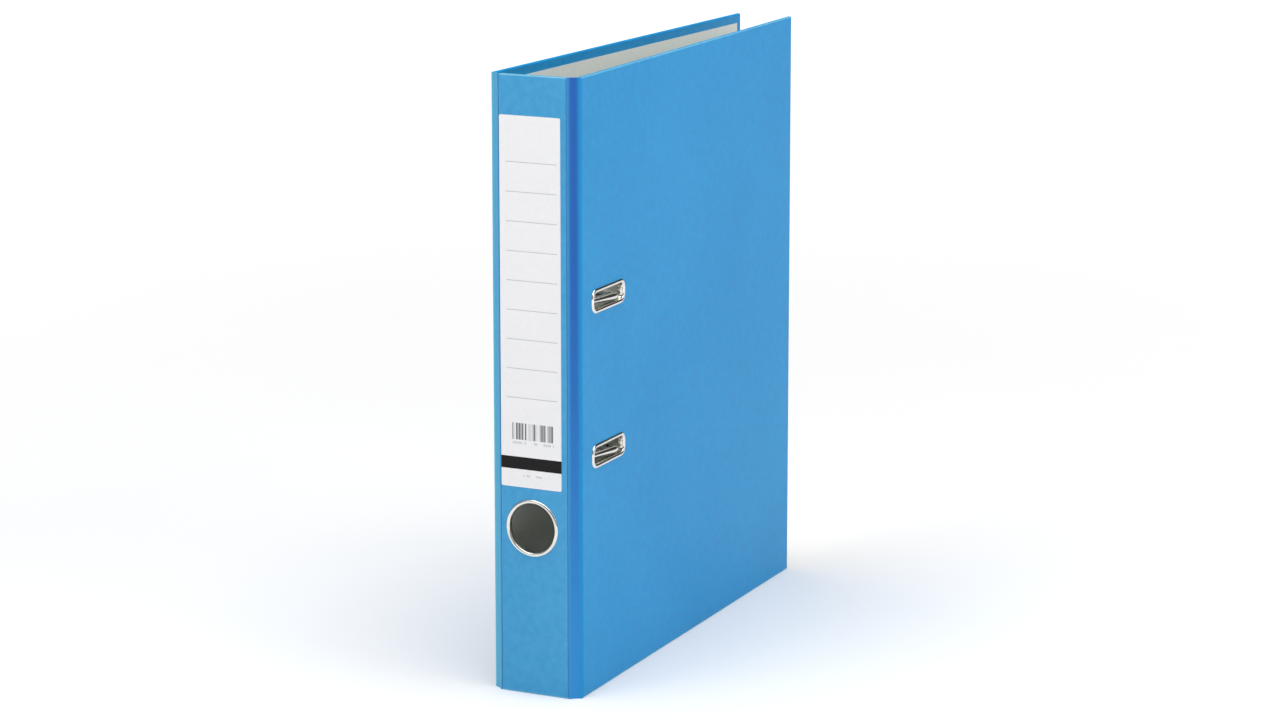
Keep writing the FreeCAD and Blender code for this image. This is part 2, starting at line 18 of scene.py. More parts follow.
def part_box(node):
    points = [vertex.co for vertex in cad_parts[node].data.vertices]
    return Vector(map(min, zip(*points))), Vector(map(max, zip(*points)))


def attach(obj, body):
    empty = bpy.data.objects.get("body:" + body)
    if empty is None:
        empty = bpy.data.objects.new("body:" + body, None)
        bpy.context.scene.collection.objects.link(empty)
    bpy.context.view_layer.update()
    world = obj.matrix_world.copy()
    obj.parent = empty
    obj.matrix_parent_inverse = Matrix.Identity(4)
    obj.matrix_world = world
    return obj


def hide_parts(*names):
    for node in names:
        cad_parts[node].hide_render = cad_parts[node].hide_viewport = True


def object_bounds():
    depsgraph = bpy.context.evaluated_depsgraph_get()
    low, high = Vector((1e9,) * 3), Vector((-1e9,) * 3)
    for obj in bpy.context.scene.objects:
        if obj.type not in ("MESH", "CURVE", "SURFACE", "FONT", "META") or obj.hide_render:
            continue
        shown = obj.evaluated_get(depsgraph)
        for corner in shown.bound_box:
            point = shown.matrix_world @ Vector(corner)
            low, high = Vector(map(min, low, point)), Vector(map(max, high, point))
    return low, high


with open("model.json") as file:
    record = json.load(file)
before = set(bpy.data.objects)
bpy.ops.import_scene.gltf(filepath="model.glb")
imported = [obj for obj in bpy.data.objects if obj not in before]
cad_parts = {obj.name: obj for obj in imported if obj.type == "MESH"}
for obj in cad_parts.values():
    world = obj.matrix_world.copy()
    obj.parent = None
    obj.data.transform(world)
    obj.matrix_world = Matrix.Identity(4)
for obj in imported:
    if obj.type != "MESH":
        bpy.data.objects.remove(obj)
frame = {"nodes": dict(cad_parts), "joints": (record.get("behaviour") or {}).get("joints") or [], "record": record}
cad_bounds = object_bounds()
nodes = frame["nodes"]
joints = {joint["name"]: joint for joint in frame["joints"]}
mounts = {mount["name"]: mount for mount in frame["record"]["mounts"]}
mm = 0.001
print("CAD nodes:", len(nodes), "size:", [round(v, 4) for v in cad_bounds[1] - cad_bounds[0]])

# %% [markdown]
# ## A small language for materials
#
# A procedural material is a sum worked out for each point of a surface. Wiring it by hand
# hides the sum, so the class below stands for one output of a node and takes part in
# ordinary Python arithmetic: each sign adds a Math node. Everything that isn't plain
# arithmetic goes through one method, `add`, which is told the node's type, its settings
# and what its inputs receive.

# %% A value that varies over a surface
class Field:
    """One output of a node, which can be used in sums."""

    def __init__(self, recipe, socket):
        self.recipe = recipe
        self.socket = socket

    def math(self, operation, *values):
        return self.recipe.add("ShaderNodeMath", {"operation": operation}, values)

    def __add__(self, other):
        return self.math("ADD", self, other)

    def __radd__(self, other):
        return self.math("ADD", other, self)

    def __sub__(self, other):
        return self.math("SUBTRACT", self, other)

    def __rsub__(self, other):
        return self.math("SUBTRACT", other, self)

    def __mul__(self, other):
        return self.math("MULTIPLY", self, other)

    def __rmul__(self, other):
        return self.math("MULTIPLY", other, self)

    def __truediv__(self, other):
        return self.math("DIVIDE", self, other)

    def __gt__(self, other):
        return self.math("GREATER_THAN", self, other)

    def __lt__(self, other):
        return self.math("LESS_THAN", self, other)

    def __abs__(self):
        return self.math("ABSOLUTE", self)

    def smaller(self, other):
        return self.math("MINIMUM", self, other)

    def larger(self, other):
        return self.math("MAXIMUM", self, other)

    def modulo(self, size):
        return self.math("FLOORED_MODULO", self, size)

    def floor(self):
        return self.math("FLOOR", self)

    def ramp_between(self, low, high):
        """0 below low, 1 above high, and smooth between them."""
        settings = {"interpolation_type": "SMOOTHSTEP"}
        inputs = {"Value": self, "From Min": low, "From Max": high}
        return self.recipe.add("ShaderNodeMapRange", settings, inputs)


print("Field:", Field.__doc__)


# %% A material and its nodes
class Recipe:
    """A material and the nodes that make it. Constant values sit on the shader itself."""

    def __init__(self, name, **constants):
        self.material = bpy.data.materials.new(name)
        self.material.use_nodes = True
        self.tree = self.material.node_tree
        self.shader = self.tree.nodes["Principled BSDF"]
        for key, value in constants.items():
            self.input(key).default_value = value
        self.place = self.add("ShaderNodeTexCoord", output="Object")
        split = self.add("ShaderNodeSeparateXYZ", {}, [self.place]).socket.node
        self.x, self.y, self.z = [Field(self, socket) for socket in split.outputs]

    def input(self, key):
        """The shader's input for a name such as base_color or ior."""
        label = key.replace("_", " ").title().replace("Ior", "IOR")
        return self.shader.inputs[label]

    def add(self, kind, settings=None, inputs=(), output=0):
        """Any node, from its type, its settings and what its inputs receive."""
        node = self.tree.nodes.new(kind)
        for key, value in (settings or {}).items():
            setattr(node, key, value)
        pairs = inputs.items() if isinstance(inputs, dict) else enumerate(inputs)
        for key, value in pairs:
            if isinstance(value, Field):
                self.tree.links.new(value.socket, node.inputs[key])
            else:
                node.inputs[key].default_value = value
        return Field(self, node.outputs[output])

    def noise(self, scale, detail=3.0, roughness=0.55, place=None):
        """Random clouds, about scale of them in a metre."""
        inputs = {"Vector": place or self.place, "Scale": scale, "Detail": detail}
        inputs["Roughness"] = roughness
        return self.add("ShaderNodeTexNoise", {}, inputs)

    def streaks(self, x, y, z, detail):
        """Noise with its own scale in each direction, so that it runs in lines."""
        stretched = self.add("ShaderNodeVectorMath", {"operation": "MULTIPLY"}, [self.place, (x, y, z)])
        return self.noise(1.0, detail, roughness=0.5, place=stretched)

    def dot(self, place, direction):
        """How far a place lies along a direction."""
        return self.add("ShaderNodeVectorMath", {"operation": "DOT_PRODUCT"}, [place, direction], "Value")

    def mix(self, amount, first, second):
        """A colour between two others."""
        settings = {"data_type": "RGBA"}
        inputs = {"Factor": amount, 6: first, 7: second}
        return self.add("ShaderNodeMix", settings, inputs, output=2)

    def bump(self, height, distance, strength=1.0):
        inputs = {"Height": height, "Distance": distance, "Strength": strength}
        return self.add("ShaderNodeBump", {}, inputs)

    def feed(self, **fields):
        """Send varying values to the shader."""
        for key, field in fields.items():
            self.tree.links.new(field.socket, self.input(key))
        return self.material


print("Recipe:", Recipe.__doc__)


# %% Screen colours
def srgb(red, green, blue, alpha=1.0):
    """A screen colour, 0 to 255, as the linear values that the shader takes."""
    def linear(value):
        value = value / 255
        return value / 12.92 if value <= 0.04045 else ((value + 0.055) / 1.055) ** 2.4

    return (linear(red), linear(green), linear(blue), alpha)


print("sky blue in linear light:", [round(v, 3) for v in srgb(73, 154, 207)])

# %% [markdown]
# ## The blue covering
#
# The boards are wrapped in printed paper with a satin varnish. Close up it isn't one blue:
# the ink sits a little unevenly on the fibres, and the varnish has a fine orange-peel grain.
# An image of real paper would also do this, but an image has one size and a seam, so noise
# at three scales is used instead: cloudy ink, mottled fibres and the grain, which bumps the
# surface. Where the paper bends over the edge of a board, a paler blue is painted on as a
# highlight of the rounded edge. That rim is found by two distances: how far a point is
# inside the sheet's outline, and how far it is behind the sheet's outer face. One function
# makes all three papers, so that they differ only in their ink.

# %% Where the covering's faces are
front_lean = math.radians(3.3)
front_crease = Vector(joints["front_cover_fold_second_crease"]["pos_m"])
back_crease = Vector(joints["spine_fold"]["pos_m"])

covering_faces = {
    "front_covering": Vector((math.cos(front_lean), math.sin(front_lean), 0)),
    "back_covering": Vector((-1, 0, 0)),
    "spine_covering": Vector((0, -1, 0)),
}


def farthest(node, direction):
    """How far a CAD node reaches along a direction."""
    return max(vertex.co.dot(direction) for vertex in nodes[node].data.vertices)


for name, facing in covering_faces.items():
    print(name, "outer face at", round(farthest(name, facing), 5))


# %% Painted highlight along the rim of a covering
rim_width = 1.0 * mm
full_highlight_width = rim_width * 0.2
crease_highlight = 0.08   # beside the spine's creases, as a share of the painted highlight at an edge


def painted_highlight_mask(recipe, node, facing):
    """1 where a highlight is painted along the outer rim of a covering, less at its creases, and 0 elsewhere."""
    low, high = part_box(node)
    behind = farthest(node, facing) - recipe.dot(recipe.place, facing)
    at_face = 1 - behind.ramp_between(0, rim_width)
    to_ends = (recipe.z - low.z).smaller(high.z - recipe.z)
    ends = 1 - to_ends.ramp_between(full_highlight_width, rim_width)
    if node == "spine_covering":
        to_sides = (recipe.x - low.x).smaller(high.x - recipe.x)
        sides = (1 - to_sides.ramp_between(0, rim_width)) * crease_highlight
    else:
        sides = 1 - (high.y - recipe.y).ramp_between(full_highlight_width, rim_width)
    return ends.larger(sides) * at_face


print("wear fades out over", rim_width / mm, "mm")


# %% Covering paper
cloud_scale = 9.0
fibre_scale = 260.0
grain_scale = 1500.0
varnish_roughness = 0.45
varnish_grain = 0.12 * mm
# How strongly the painted highlight shows along the rims, and its pale blue.
edge_highlight = 0.8
highlight_blue = srgb(150, 214, 228)
cover_inks = (srgb(16, 138, 200), srgb(40, 156, 218))
# The spine's inks are lighter than the covers': painted light, for the light that falls on the spine from the
# front left.
spine_inks = (srgb(60, 152, 206), srgb(80, 168, 218))


def paper_fibres(recipe):
    return recipe.noise(fibre_scale, detail=4.0, roughness=0.65)


def covering_paper(node, ink, faded_ink):
    recipe = Recipe(node + "_paper", specular_ior_level=0.2)
    clouds = recipe.noise(cloud_scale, detail=2.0)
    fibres = paper_fibres(recipe)
    grain = recipe.noise(grain_scale, detail=2.0)
    uneven = (clouds - 0.5) * 0.9 + (fibres - 0.5) * 1.5 + 0.5
    colour = recipe.mix(uneven, ink, faded_ink)
    # Painted highlight: a paler blue along the rims, mottled by the fibres and the clouds.
    highlight_amount = painted_highlight_mask(recipe, node, covering_faces[node]) * (fibres * 0.8 + clouds * 0.6) * edge_highlight
    colour = recipe.mix(highlight_amount, colour, highlight_blue)
    normal = recipe.bump(grain * 0.6 + fibres * 0.6, varnish_grain, strength=0.6)
    satin = (fibres - 0.5) * 0.16 + varnish_roughness
    return recipe.feed(base_color=colour, roughness=satin, normal=normal)


for node in covering_faces:
    inks = spine_inks if node == "spine_covering" else cover_inks
    nodes[node].data.materials[0] = covering_paper(node, *inks)
print("covering papers:", [nodes[node].data.materials[0].name for node in covering_faces])

# %% [markdown]
# ## The paper of the joints
#
# Either side of the spine a strip of the covering is the hinge. It is glued to the lining
# under it and rubbed down with a bone tool into a groove. Its blue holds painted light and
# shade: beside the front cover it is darker, painted shade of the groove, most of all near
# the top; beside the back cover it is paler, a painted highlight of the spine's rounded edge;
# and both are lighter towards the foot, painted light from the floor. The colour is worked
# out from how far a point is between the strip's two creases, so it meets the spine's blue
# at one and the cover's at the other. The inside of the strip has the plain ink of the covers.

# %% Joint paper
strip_half = 0.4 * mm
groove_fibre_grain = 0.08 * mm


def strip_line(side, crease):
    """The two creases of a joint strip, at the spine and at the cover."""
    low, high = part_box(side + "_joint_strip")
    beside_spine = low.x + strip_half if side == "front" else high.x - strip_half
    return Vector((beside_spine, low.y + strip_half, 0)), Vector((crease.x, crease.y, 0))


strip_lines = {"front": strip_line("front", front_crease), "back": strip_line("back", back_crease)}


def joint_paper(side, floor_lit_foot_ink, shaded_top_ink, spine_ink, cover_ink):
    """The covering pressed into a groove: painted light and shade along its middle, and plain inside."""
    low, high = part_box(side + "_joint_strip")
    start, end = strip_lines[side]
    outwards = Vector((end.y - start.y, start.x - end.x, 0)).normalized()
    outwards *= -1 if outwards.y > 0 else 1
    recipe = Recipe(side + "_joint_paper", roughness=0.5, specular_ior_level=0.25)
    fibres = paper_fibres(recipe)
    upward = (recipe.z - low.z) / (high.z - low.z)
    # Painted light and shade: lighter at the foot, as if lit from the floor, and darker at the top, as if shaded
    # in the groove.
    colour = recipe.mix(upward.ramp_between(-0.1, 0.75) + (fibres - 0.5) * 0.2, floor_lit_foot_ink, shaded_top_ink)
    from_start = recipe.add("ShaderNodeVectorMath", {"operation": "SUBTRACT"}, [recipe.place, start])
    share = recipe.dot(from_start, (end - start) / (end - start).length_squared)
    colour = recipe.mix(share.ramp_between(-0.05, 0.3), spine_ink, colour)
    colour = recipe.mix(share.ramp_between(0.6, 1.02), colour, cover_ink)
    outside = recipe.dot(from_start, outwards) > -strip_half / 2
    colour = recipe.mix(outside, recipe.mix(fibres, *cover_inks), colour)
    return recipe.feed(base_color=colour, normal=recipe.bump(fibres, groove_fibre_grain, strength=0.5))


# Front: a darker blue, painted shade of the groove. Back: a paler blue, painted highlight of the spine's rounded
# edge.
joint_papers = {
    "front": joint_paper(
        "front", floor_lit_foot_ink=srgb(46, 142, 212), shaded_top_ink=srgb(32, 96, 178),
        spine_ink=srgb(58, 144, 202), cover_ink=srgb(26, 142, 206),
    ),
    "back": joint_paper(
        "back", floor_lit_foot_ink=srgb(84, 174, 212), shaded_top_ink=srgb(76, 166, 210),
        spine_ink=srgb(70, 160, 210), cover_ink=srgb(92, 188, 220),
    ),
}
for side, paper in joint_papers.items():
    nodes[side + "_joint_strip"].data.materials[0] = paper
print("joint papers:", [paper.name for paper in joint_papers.values()])

# %% [markdown]
# ## Paper and board inside
#
# The lining is a warm grey paper with visible fibres, so its noise is stretched in one
# direction. The boards are pressed from waste paper, in layers that only show on a cut
# edge, so their noise is squeezed across the thickness.

# %% Lining and board
def lining_paper():
    recipe = Recipe("lining_paper", roughness=0.82, specular_ior_level=0.35)
    fibres = recipe.streaks(900, 300, 1100, detail=5.0)
    specks = recipe.noise(420.0, detail=1.0) > 0.72
    colour = recipe.mix(fibres, srgb(222, 225, 219), srgb(240, 243, 236))
    colour = recipe.mix(specks * 0.2, colour, srgb(206, 208, 202))
    return recipe.feed(base_color=colour, normal=recipe.bump(fibres, 0.05 * mm, strength=0.5))


def grey_board():
    recipe = Recipe("grey_board", roughness=0.9)
    layers = recipe.streaks(3500, 180, 180, detail=4.0)
    colour = recipe.mix(layers, srgb(128, 122, 112), srgb(164, 158, 147))
    return recipe.feed(base_color=colour, normal=recipe.bump(layers, 0.1 * mm, strength=0.6))


lining = lining_paper()
board = grey_board()
for part in ("front", "back", "spine"):
    nodes[part + "_lining"].data.materials[0] = lining
    nodes[part + "_board"].data.materials[0] = board
print("inside papers:", lining.name, board.name)

# %% [markdown]
# ## The spine label
#
# The label is a sheet of matt paper glued to the spine. What is printed on it is worked
# out from its own box: nine writing rules a fixed pitch apart, a block of bars and a black
# band. The bars are a made-up pattern: a white noise gives each narrow column a random
# value, and a column's ink is as dark as its value is high.

# %% Label print
rule_pitch = 15.0 * mm
rule_count = 9
rule_width = 0.4 * mm
first_rule_drop = 23.4 * mm
rule_left = 3.6 * mm
rule_right = 2.0 * mm
bars_low, bars_high = 24.6 * mm, 33.2 * mm
bars_left, bars_right = 6.4 * mm, 4.0 * mm
bar_column = 0.85 * mm
marks_low, marks_high = 22.4 * mm, 23.6 * mm
mark_column = 1.1 * mm
band_low, band_high = 9.3 * mm, 15.7 * mm
footer_low, footer_high = 5.6 * mm, 6.6 * mm
footer_left, footer_right = 12.5 * mm, 11.0 * mm


def inside(value, low, high):
    return (value > low) * (value < high)


def random_columns(recipe, across, width, seed):
    """A random value from 0 to 1 for each narrow column."""
    column = (across / width).floor() + seed
    return recipe.add("ShaderNodeTexWhiteNoise", {"noise_dimensions": "1D"}, {"W": column})


def printed_label():
    low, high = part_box("spine_label")
    recipe = Recipe("printed_label", roughness=0.62, specular_ior_level=0.25)
    up = recipe.z - low.z
    across = recipe.x - low.x
    width = high.x - low.x

    from_first = high.z - low.z - first_rule_drop - up
    nearest = abs((from_first + rule_pitch / 2).modulo(rule_pitch) - rule_pitch / 2)
    rows = inside(from_first, -rule_pitch / 2, rule_pitch * (rule_count - 0.5))
    rules = (nearest < rule_width / 2) * rows * inside(across, rule_left, width - rule_right)

    bars = random_columns(recipe, across, bar_column, 3.0).ramp_between(0.1, 0.8)
    bars = bars * inside(up, bars_low, bars_high) * inside(across, bars_left, width - bars_right)
    marks = (random_columns(recipe, across, mark_column, 7.0) > 0.4) * inside(up, marks_low, marks_high)
    marks = marks * inside(across, bars_left, width - bars_right)
    footer = inside(up, footer_low, footer_high) * inside(across, footer_left, width - footer_right)
    footer = footer * (random_columns(recipe, across, mark_column, 11.0) > 0.3)
    band = inside(up, band_low, band_high)

    fibres = recipe.noise(700.0, detail=4.0)
    colour = recipe.mix(fibres, srgb(236, 236, 238), srgb(246, 246, 248))
    colour = recipe.mix(rules * 0.75, colour, srgb(176, 178, 180))
    colour = recipe.mix((marks + footer) * 0.35, colour, srgb(140, 142, 145))
    colour = recipe.mix(bars * 0.9, colour, srgb(84, 86, 90))
    colour = recipe.mix(band, colour, srgb(18, 15, 18))
    return recipe.feed(base_color=colour, normal=recipe.bump(fibres, 0.04 * mm, strength=0.4))


nodes["spine_label"].data.materials[0] = printed_label()
print("label rules:", rule_count, "every", rule_pitch)

# %% [markdown]
# ## Metals and plastics
#
# The rings, the arches and the posts are bright nickel over steel. Polished plate is never
# perfectly even, so a slow noise moves its roughness a little. Pressed parts start as
# rolled strip, which leaves fine lines along it. The spring stays darker.

# %% Metal and plastic recipes
def nickel_plate():
    recipe = Recipe("nickel_plate", metallic=1.0)
    cloud = recipe.noise(160.0, detail=3.0)
    scuffs = recipe.noise(1300.0, detail=2.0)
    colour = recipe.mix(cloud, srgb(214, 212, 206), srgb(232, 231, 227))
    shine = cloud * 0.1 + scuffs * 0.06 + 0.08
    return recipe.feed(base_color=colour, roughness=shine)


def rolled_steel(name, dark, light, roughness, along):
    recipe = Recipe(name, metallic=1.0)
    lines = recipe.streaks(*along, detail=3.0)
    cloud = recipe.noise(70.0, detail=2.0)
    colour = recipe.mix(lines * 0.5 + cloud * 0.5, dark, light)
    shine = (lines - 0.5) * 0.16 + (cloud - 0.5) * 0.12 + roughness
    normal = recipe.bump(lines, 0.02 * mm, strength=0.35)
    return recipe.feed(base_color=colour, roughness=shine, normal=normal)


def moulded_plastic(name, dark, light, roughness, scale):
    recipe = Recipe(name, roughness=roughness, ior=1.5)
    grain = recipe.noise(scale, detail=2.0)
    colour = recipe.mix(grain, dark, light)
    shine = (grain - 0.5) * 0.15 + roughness
    normal = recipe.bump(grain, 0.06 * mm, strength=0.5)
    return recipe.feed(base_color=colour, roughness=shine, normal=normal)


nickel = nickel_plate()
lines_upright = (2500, 2500, 60)
lines_inwards = (2500, 60, 2500)
plated = rolled_steel("plated_steel", srgb(196, 196, 193), srgb(222, 222, 219), 0.26, lines_upright)
spring = rolled_steel("spring_steel", srgb(120, 122, 126), srgb(156, 158, 162), 0.34, lines_inwards)
grip_black = moulded_plastic("grip_black", srgb(22, 22, 24), srgb(32, 32, 35), 0.45, 1400.0)
acetal = moulded_plastic("acetal_white", srgb(222, 222, 218), srgb(234, 234, 230), 0.35, 500.0)

nickel_nodes = (
    "finger_ring", "finger_ring_backing", "slot_eyelet_upper", "slot_eyelet_lower",
    "slot_backing_upper", "slot_backing_lower", "post_upper", "post_lower", "arch_wire",
    "lever_axle", "roller_pin", "base_rivets", "rivet_washers", "spring_rivet",
)
for name in nickel_nodes:
    nodes[name].data.materials[0] = nickel
for name in ("base_plate", "lever_arm", "compressor_bar"):
    nodes[name].data.materials[0] = plated
nodes["arch_spring"].data.materials[0] = spring
nodes["lever_grip"].data.materials[0] = grip_black
nodes["cam_roller"].data.materials[0] = acetal
print("nickel plated pieces:", len(nickel_nodes))

# %% [markdown]
# ## From a bmesh to a piece
#
# The pieces below are shaped with bmesh operators, the same ones that the editor's menus
# run. A bmesh isn't an object yet: the helper makes it one, with its place in its mesh, hangs
# it on the empty of the body that it rides on, and hides the plain CAD solid that it stands for.

# %% Helpers for new pieces
merge_distance = 0.002 * mm


def mesh_object(name, form, material):
    mesh = bpy.data.meshes.new(name)
    form.to_mesh(mesh)
    form.free()
    mesh.materials.append(material)
    made = bpy.data.objects.new(name, mesh)
    bpy.context.scene.collection.objects.link(made)
    return made


def new_piece(name, form, material, body, node, sharp_angle=35):
    made = mesh_object(name, form, material)
    made.data.shade_smooth()
    made.data.set_sharp_from_angle(angle=math.radians(sharp_angle))
    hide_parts(node)
    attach(made, body)
    print(name, "rides on", body, "with", len(made.data.polygons), "faces")
    return made


def merge(form):
    """Merge the points that an operator left double."""
    bmesh.ops.remove_doubles(form, verts=form.verts, dist=merge_distance)


def clean(form):
    """Merge the doubles of a closed form, and turn every face outwards."""
    merge(form)
    bmesh.ops.recalc_face_normals(form, faces=form.faces)


# %% [markdown]
# ## The finger ring
#
# The ring in the spine is one sheet of steel, drawn into a tube. Its front is rolled
# outwards into a half-round rim, and its back is pressed over the ring behind the spine.
# A round part like this is quickest to make as it looks when cut through: its section is
# drawn once, and spin turns it about the hole's axis. The section is a closed outline, so
# the sheet has a real thickness wherever it is looked at.

# %% Finger ring
ring_sheet = 0.45 * mm
ring_flare = 1.6 * ring_sheet
ring_turns = 96
arc_steps = 10


def ring_section(form, inner, outer, front, face, back):
    """The cut sheet, as radius and depth: rolled rim, tube and flared end."""
    middle = (inner + outer) / 2
    half = (outer - inner) / 2
    lips = []
    for shrink in (0.0, ring_sheet):
        wide = half - shrink
        tall = face - front - shrink
        angles = [math.pi * step / arc_steps for step in range(arc_steps + 1)]
        lips.append([(middle + wide * math.cos(a), face - tall * math.sin(a)) for a in angles])
    bend = ring_flare * 0.3
    flared_end = [
        (inner, back - ring_flare),
        (inner + bend, back - bend),
        (inner + ring_flare, back),
        (inner + ring_flare + ring_sheet, back - ring_sheet),
        (inner + ring_sheet, back - ring_flare * 1.4),
    ]
    outline = lips[0] + flared_end + lips[1][::-1]
    points = [form.verts.new((radius, depth, 0)) for radius, depth in outline]
    return [form.edges.new(pair) for pair in zip(points, points[1:] + points[:1])]


def rolled_ring():
    mount = mounts["finger_hole"]
    low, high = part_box("finger_ring")
    face = -farthest("spine_covering", covering_faces["spine_covering"])
    inner = mount["dims"]["r_mm"] * mm
    form = bmesh.new()
    section = ring_section(form, inner, (high.z - low.z) / 2, low.y, face, high.y)
    bmesh.ops.spin(
        form, geom=section + list(form.verts), cent=(0, 0, 0), axis=(0, 1, 0), dvec=(0, 0, 0),
        angle=math.tau, steps=ring_turns, use_merge=True,
    )
    clean(form)
    centre = Vector(mount["pos_m"])
    bmesh.ops.translate(form, verts=form.verts, vec=(centre.x, 0, centre.z))
    return form


new_piece("rolled_finger_ring", rolled_ring(), nickel, "spine", "finger_ring")

# %% [markdown]
# ## The slot eyelets
#
# Each slot is edged by an eyelet: a pressed rim with rounded corners and a tube through the
# cover. It isn't round, so spin can't make it. It starts as one flat face with bevelled
# corners, and every step insets that face a little and lifts or lowers it, which leaves a
# ring of faces behind. Following a half circle, the steps leave a rolled rim. The last ones
# go down the slot and open outwards behind the cover, and the face itself is deleted.
#
# The front cover leans inwards, because an empty file isn't held open by paper. An eyelet is
# made flat, stood up in the cover's plane, and then leaned about the cover's crease.

# %% Slot eyelets
eyelet_rim = 2.1 * mm
eyelet_corner = 2.8 * mm
eyelet_sheet = 0.35 * mm
eyelet_flare = 1.5 * eyelet_sheet
corner_steps = 8
lean = (
    Matrix.Translation(front_crease)
    @ Matrix.Rotation(front_lean, 4, "Z")
    @ Matrix.Translation(-front_crease)
)


def upright_box(node):
    """A front cover node's corners, as they are before the cover leans."""
    places = [lean.inverted() @ vertex.co for vertex in nodes[node].data.vertices]
    low = Vector([min(place[axis] for place in places) for axis in range(3)])
    high = Vector([max(place[axis] for place in places) for axis in range(3)])
    return low, high


def rounded_face(form, length, tall, corner):
    """One flat face with round corners, facing +Z."""
    bmesh.ops.create_grid(form, x_segments=1, y_segments=1, size=0.5)
    bmesh.ops.scale(form, verts=form.verts, vec=(length, tall, 1))
    bmesh.ops.bevel(
        form, geom=list(form.verts), offset=corner, segments=corner_steps, profile=0.5,
        affect="VERTICES", material=-1,
    )
    form.faces.ensure_lookup_table()
    return form.faces[0]


def roll_rim(form, face, rim, tall, steps):
    """Inset a face along a half circle, from a rim's outer foot to its inner one."""
    places = [math.pi * step / steps for step in range(steps + 1)]
    for start, end in zip(places, places[1:]):
        inward = rim * (math.cos(start) - math.cos(end)) / 2
        rise = tall * (math.sin(end) - math.sin(start))
        bmesh.ops.inset_individual(form, faces=[face], thickness=inward, depth=rise, use_even_offset=True)


def slot_eyelet(node):
    low, high = upright_box(node)
    facing = covering_faces["front_covering"]
    above_crease = farthest("front_covering", facing) - facing.dot(front_crease)
    outer_face = front_crease.x + above_crease   # where it is before the cover leans
    rim_height = high.x - outer_face
    form = bmesh.new()
    face = rounded_face(form, high.y - low.y, high.z - low.z, eyelet_corner + eyelet_rim)
    roll_rim(form, face, eyelet_rim, rim_height, arc_steps)
    depth = outer_face - low.x - eyelet_flare
    bmesh.ops.inset_individual(form, faces=[face], thickness=0, depth=-depth, use_even_offset=True)
    end = bmesh.ops.extrude_face_region(form, geom=[face])
    ring = [part for part in end["geom"] if isinstance(part, bmesh.types.BMVert)]
    if face.is_valid:   # an extrusion can leave the old face across the tube
        form.faces.remove(face)
    opening = (high.y - low.y - 2 * eyelet_rim, high.z - low.z - 2 * eyelet_rim)
    wider = [1 + 2 * eyelet_flare / size for size in opening]
    bmesh.ops.scale(form, verts=ring, vec=(*wider, 1))
    bmesh.ops.translate(form, verts=ring, vec=(0, 0, -eyelet_flare))
    lid = [part for part in end["geom"] if isinstance(part, bmesh.types.BMFace)]
    bmesh.ops.delete(form, geom=lid, context="FACES_ONLY")
    merge(form)
    bmesh.ops.solidify(form, geom=list(form.faces), thickness=eyelet_sheet)
    stand = Matrix(((0, 0, 1), (1, 0, 0), (0, 1, 0))).to_4x4()   # its face towards +X
    middle = Vector((outer_face, (low.y + high.y) / 2, (low.z + high.z) / 2))
    bmesh.ops.transform(form, verts=form.verts, matrix=lean @ Matrix.Translation(middle) @ stand)
    return form


for place in ("upper", "lower"):
    node = "slot_eyelet_" + place
    new_piece("rolled_" + node, slot_eyelet(node), nickel, "front_cover", node)

# %% [markdown]
# ## The joint strips
#
# Beside the spine the covering and the lining are glued to each other with no board between
# them, which makes a paper hinge. It is rubbed down into a shallow groove, so the strip's
# section is a bent one: its outline is two shallow waves that end in round edges, and it is
# pulled up to the file's height in one extrusion.

# %% Joint strips
groove = 0.45 * mm
groove_steps = 12
edge_steps = 6


def strip_outline(start, end):
    """Points round the section of a strip that sags between its two creases."""
    along = (end - start).normalized()
    across = Vector((-along.y, along.x, 0))
    inwards = across if across.y > 0 else -across
    points = []
    for side in (-1, 1):
        run = [step / groove_steps for step in range(groove_steps + 1)]
        if side > 0:
            run.reverse()
        for share in run:
            sag = groove * math.sin(math.pi * share) ** 2
            points.append(start.lerp(end, share) + inwards * (side * strip_half + sag))
        tip, way = (end, along) if side < 0 else (start, -along)
        for step in range(1, edge_steps):
            turn = math.pi * step / edge_steps
            from_tip = way * math.sin(turn) + inwards * side * math.cos(turn)
            points.append(tip + from_tip * strip_half)
    return points


def joint_strip(start, end, top):
    form = bmesh.new()
    corners = [form.verts.new(point) for point in strip_outline(start, end)]
    face = form.faces.new(corners)
    pulled = bmesh.ops.extrude_face_region(form, geom=[face])
    upper = [part for part in pulled["geom"] if isinstance(part, bmesh.types.BMVert)]
    bmesh.ops.translate(form, verts=upper, vec=(0, 0, top))
    clean(form)
    return form


for side, (spine_end, cover_end) in strip_lines.items():
    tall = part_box(side + "_joint_strip")[1].z
    new_piece(
        side + "_joint_groove", joint_strip(spine_end, cover_end, tall), joint_papers[side],
        side + "_joint", side + "_joint_strip", sharp_angle=50,
    )
    print("  section", round((cover_end - spine_end).length / mm, 2), "mm between creases")

# %% [markdown]
# ## The thumb grip
#
# The lever ends in a moulded grip. A moulding has no sharp edge, its sides taper a little so
# that it leaves the mould, and the place for the thumb has cross ribs. The block is bevelled
# first. Then planes cut it across where the ribs start and end, and every other band of its
# top is inset and raised.

# %% Thumb grip
grip_round = 2.4 * mm
round_steps = 6
rib_height = 0.6 * mm
rib_pitch = 3.2 * mm
rib_count = 5
rib_inset = 0.45 * mm
tip_taper = 0.88


def flat_top_faces(form, bands):
    """The faces of the flat top that lie in one of the bands, each a low and a high end."""
    top = max(vertex.co.x for vertex in form.verts)
    found = []
    for face in form.faces:
        middle = face.calc_center_median()
        if top - middle.x < merge_distance and any(low < middle.z < high for low, high in bands):
            found.append(face)
    return found


